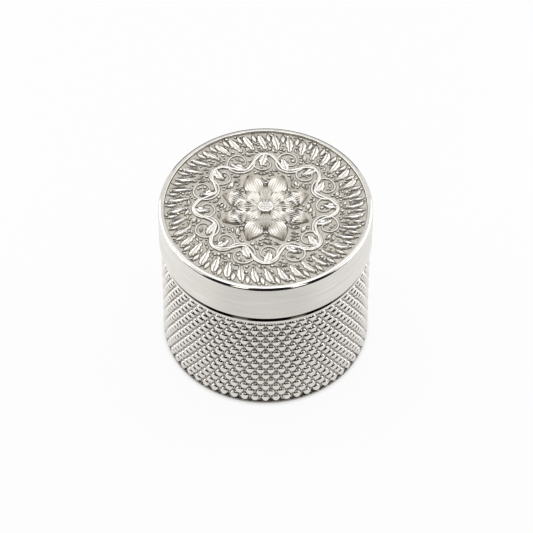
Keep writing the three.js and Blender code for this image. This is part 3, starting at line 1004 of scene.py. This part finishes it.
# Small leaves and berries fill the field between the larger forms
fillShape = {
    "seed": 11, "leafTries": 5000, "sprigTries": 14000, "berryTries": 14000,
    "reach": 0.0262, "edge": 0.026, "leafGap": 0.00004, "berryGap": 0.00003,
    "leafSizes": (1.0, 1.0, 0.8, 0.65), "sprigSizes": (1.0, 0.8, 0.7), "berrySizes": (0.5, 1.1),
    "lean": (0.3, 1.3), "turnedRound": 0.4, "spots": (0.1, 0.5, 0.9),
    "berry": 0.00046, "berryHeight": 0.00046, "hem": 0.00014,
}


def roomFor(points, room):
    places = numpy.array([(x, y) for x, y, size in taken])
    sizes = numpy.array([size for x, y, size in taken])
    for x, y in points:
        gaps = numpy.hypot(places[:, 0] - x, places[:, 1] - y) - sizes
        if gaps.min() < room or math.hypot(x, y) > fillShape["edge"]:
            return False
    return True


def scatterLeaves(name, leaf, tries, sizes, shape, dice):
    places = []
    for attempt in range(tries):
        radius, angle = shape["reach"] * math.sqrt(dice.random()), dice.random() * fullTurn
        size = dice.choice(sizes)
        x, y = polar(radius, angle)
        heading = angle + dice.uniform(*shape["lean"])
        heading += math.pi if dice.random() < shape["turnedRound"] else 0
        length, half = leaf["length"] * size, leaf["width"] / 2 * size
        line = [(x + length * part * math.cos(heading), y + length * part * math.sin(heading))
                for part in shape["spots"]]
        if roomFor(line, half + shape["leafGap"]):
            places.append(setLeaf(leaf, radius, angle, heading, size))
    print(name, len(places))
    return plant(name, carveLeaf(name, leaf), places)


def makeFilling(shape):
    dice = random.Random(shape["seed"])
    leaves = scatterLeaves('smallLeaves', fillLeaf, shape["leafTries"], shape["leafSizes"], shape, dice)
    sprigs = scatterLeaves('sprigs', sprigLeaf, shape["sprigTries"], shape["sprigSizes"], shape, dice)
    berryPlaces = []
    wide, high = shape["berry"], shape["berryHeight"]
    for attempt in range(shape["berryTries"]):
        radius, angle = shape["reach"] * math.sqrt(dice.random()), dice.random() * fullTurn
        size = dice.uniform(*shape["berrySizes"])
        x, y = polar(radius, angle)
        if roomFor([(x, y)], wide * size + shape["berryGap"]):
            berryPlaces.append(placed(x, y, angle, size))
            taken.append((x, y, wide * size))
    berry = turnPiece('berry', [
        (0, field - rootDepth), (wide + shape["hem"], field - rootDepth),
        (wide + shape["hem"], field + oxideAndShadeHem["level"]), (wide, field + 2 * oxideAndShadeHem["level"]),
        (wide * 0.8, field + high * 0.7), (wide * 0.4, field + high * 0.96), (0, field + high),
    ], around=9)
    berries = plant('berries', berry, berryPlaces)
    print("berries", len(berryPlaces))
    return joinPieces('reliefFilling', [leaves, sprigs, berries])


relief = [makeLotus(lotusShape), makeVineLeaves(vineShape), makeFringe(fringeShape), makeVine(vineShape)]
relief.append(makeFilling(fillShape))
for piece in relief:
    finishPiece(piece, 'lid', reliefSilver, ['relief_medallion'])
print("relief ready", sum(len(piece.data.polygons) for piece in relief))


# Studio
studio = {
    "surround": 1.0, "surroundOnMatt": 0.4,
    # each softbox: its place, its width and length, and how bright it looks beside the white surround
    "softboxes": [((0, 0.1, 0.95), 0.8, 0.9, 1.15), ((0.33, -0.54, 0.3), 0.16, 0.5, 1.25),
                  ((-0.27, -0.58, 0.3), 0.16, 0.5, 1.25), ((0.3, 0.08, 0.15), 0.36, 0.3, 1.2),
                  ((-0.3, 0.08, 0.15), 0.36, 0.3, 1.2)],
    "softboxAim": (0, 0, 0.04),
    "flagDistance": 0.25, "flagExtra": 0.045,
    # each black flag: degrees round from the front, half its width in degrees, its top in degrees up
    "flags": [(4, 20, 74), (50, 13, 62), (-43, 13, 62), (180, 30, 22)],
    # a low dark skirting round the front, where the white paper ends
    "skirtingRadius": 0.26, "skirtingTop": 25, "skirtingBack": -0.14,
    # bounce cards on the table at both sides: centre, width, length and how bright they look
    "cards": [((0.12, -0.015), 0.16, 0.1, 1.12), ((-0.12, -0.015), 0.16, 0.1, 1.16)], "cardHeight": 0.0008,
    # the dark table in front shows past the paper
    "tableSize": (4, 2), "tableHeight": 0.0005, "tableFrom": 0.1, "tableDark": 0.17,
    # the paper, which is dimmer right under the box's edge
    "floorSize": 8, "floorHeight": -0.00002, "paper": "#F8F8F8", "black": "#0B0B0B",
    "paperGlow": 0.91, "paperGlowAtFoot": 0.4, "foot": 0.0268, "footReach": 0.0283,
}


# 1 for the rays that show a thing to the eye, straight, in metal or through glass, and 0 for the others
def seenByEye(material):
    rays = addNode(material, 'LightPath').outputs
    seen = rays['Is Camera Ray']
    for kind in ('Is Glossy Ray', 'Is Transmission Ray'):
        seen = addNode(material, 'Math', [seen, rays[kind]], operation='MAXIMUM')
    return seen


def makeWorld(values):
    world = bpy.data.worlds.new('whiteSurround')
    scene.world = world
    world.use_nodes = True
    strength = addNode(world, 'MapRange', [
        seenByEye(world), 0, 1, values["surroundOnMatt"], values["surround"],
    ])
    feed(world, world.node_tree.nodes['Background'], {'Color': (1, 1, 1, 1), 'Strength': strength})


# a material whose surface node is still to be made
def bareMaterial(name):
    material = bpy.data.materials.new(name)
    material.use_nodes = True
    material.node_tree.nodes.remove(material.node_tree.nodes['Principled BSDF'])
    return material, material.node_tree.nodes['Material Output']


def makePlane(name, size, place):
    clearSelection()
    bpy.ops.mesh.primitive_plane_add(size=1, location=place)
    plane = bpy.context.object
    plane.name = name
    plane.scale = (*size, 1)
    bpy.ops.object.transform_apply()
    return plane


def makeFloor(values):
    floor = makePlane('floor', (values["floorSize"], values["floorSize"]), (0, 0, values["floorHeight"]))
    material, output = bareMaterial('paperWhite')
    glowing = addNode(material, 'MapRange', [
        axisPlace(material)["radius"], values["foot"], values["footReach"],
        values["paperGlowAtFoot"], values["paperGlow"],
    ])
    share = addNode(material, 'Math', [seenByEye(material), glowing], operation='MULTIPLY')
    paper = addNode(material, 'BsdfDiffuse', {'Color': rgb(values["paper"])})
    glow = addNode(material, 'Emission')
    mixed = addNode(material, 'MixShader', [share, paper, glow])
    feed(material, output, {'Surface': mixed})
    floor.data.materials.append(material)


def makeSoftbox(name, place, width, length, glow):
    lamp = bpy.data.lights.new(name, 'AREA')
    lamp.shape = 'RECTANGLE'
    lamp.size = width
    lamp.size_y = length
    lamp.energy = glow * math.pi * width * length
    softbox = bpy.data.objects.new(name, lamp)
    scene.collection.objects.link(softbox)
    softbox.location = place
    towards = Vector(studio["softboxAim"]) - softbox.location
    softbox.rotation_euler = towards.to_track_quat('-Z', 'Y').to_euler()
    softbox.visible_camera = False


# a flag shows in the metal, and does nothing else
def hangFlag(flag, material):
    flag.data.materials.append(material)
    for rays in ('camera', 'diffuse', 'shadow', 'transmission'):
        setattr(flag, 'visible_' + rays, False)


def makeFlags(values):
    material, surface = newMaterial('blackCard', Roughness=1.0)
    feed(material, surface, {'Base Color': rgb(values["black"])})
    away = values["flagDistance"]
    for number, (turn, half, top) in enumerate(values["flags"]):
        width = 2 * away * math.tan(math.radians(half))
        height = away * math.tan(math.radians(top)) + values["flagExtra"]
        flag = makePlane(f'flag{number}', (width, height), (0, 0, 0))
        heading = math.radians(turn)
        flag.rotation_euler = (math.radians(90), 0, heading)
        flag.location = (away * math.sin(heading), -away * math.cos(heading), height / 2)
        bpy.ops.object.transform_apply()
        hangFlag(flag, material)
    clearSelection()
    radius = values["skirtingRadius"]
    bpy.ops.mesh.primitive_cylinder_add(vertices=96, radius=radius, depth=1, end_fill_type='NOTHING')
    skirting = bpy.context.object
    skirting.name = 'skirting'
    skirting.scale = (1, 1, radius * math.tan(math.radians(values["skirtingTop"])))
    skirting.location = (0, 0, skirting.scale.z / 2)
    bpy.ops.object.transform_apply()
    startEdit(skirting)
    pick(skirting, lambda co: co.y > values["skirtingBack"])
    bpy.ops.mesh.delete(type='VERT')
    stopEdit()
    hangFlag(skirting, material)


def makeTable(values):
    width, length = values["tableSize"]
    table = makePlane('table', (width, length), (0, -length / 2, values["tableHeight"]))
    material, output = bareMaterial('tableDark')
    share = addNode(material, 'MapRange', [
        axisPlace(material)["radius"], values["tableFrom"], values["tableDark"],
    ])
    paper = addNode(material, 'BsdfTransparent')
    wood = addNode(material, 'BsdfDiffuse', {'Color': rgb(values["black"])})
    mixed = addNode(material, 'MixShader', [share, paper, wood])
    feed(material, output, {'Surface': mixed})
    hangFlag(table, material)


def layCards(values):
    for number, ((x, y), width, length, glow) in enumerate(values["cards"]):
        card = makePlane(f'card{number}', (width, length), (x, y, values["cardHeight"]))
        material, output = bareMaterial(f'bounceCard{number}')
        shine = addNode(material, 'Emission', {'Strength': glow})
        feed(material, output, {'Surface': shine})
        hangFlag(card, material)


makeWorld(studio)
makeFloor(studio)
for number, softbox in enumerate(studio["softboxes"]):
    makeSoftbox(f'softbox{number}', *softbox)
makeFlags(studio)
makeTable(studio)
layCards(studio)

cameraView = {
    "aim": (0.00023, 0, 0.0242), "elevation": 50.13, "distance": 0.8887, "lens": 225.93, "sensor": 36,
}
cameraData = bpy.data.cameras.new('camera')
cameraData.sensor_width = cameraView["sensor"]
cameraData.lens = cameraView["lens"]
camera = bpy.data.objects.new('camera', cameraData)
scene.collection.objects.link(camera)
tilt = math.radians(cameraView["elevation"])
back = Vector((0, -math.cos(tilt), math.sin(tilt)))
camera.location = Vector(cameraView["aim"]) + cameraView["distance"] * back
camera.rotation_euler = (math.radians(90) - tilt, 0, 0)
scene.camera = camera
scene.view_settings.view_transform = 'Standard'
print("studio ready")
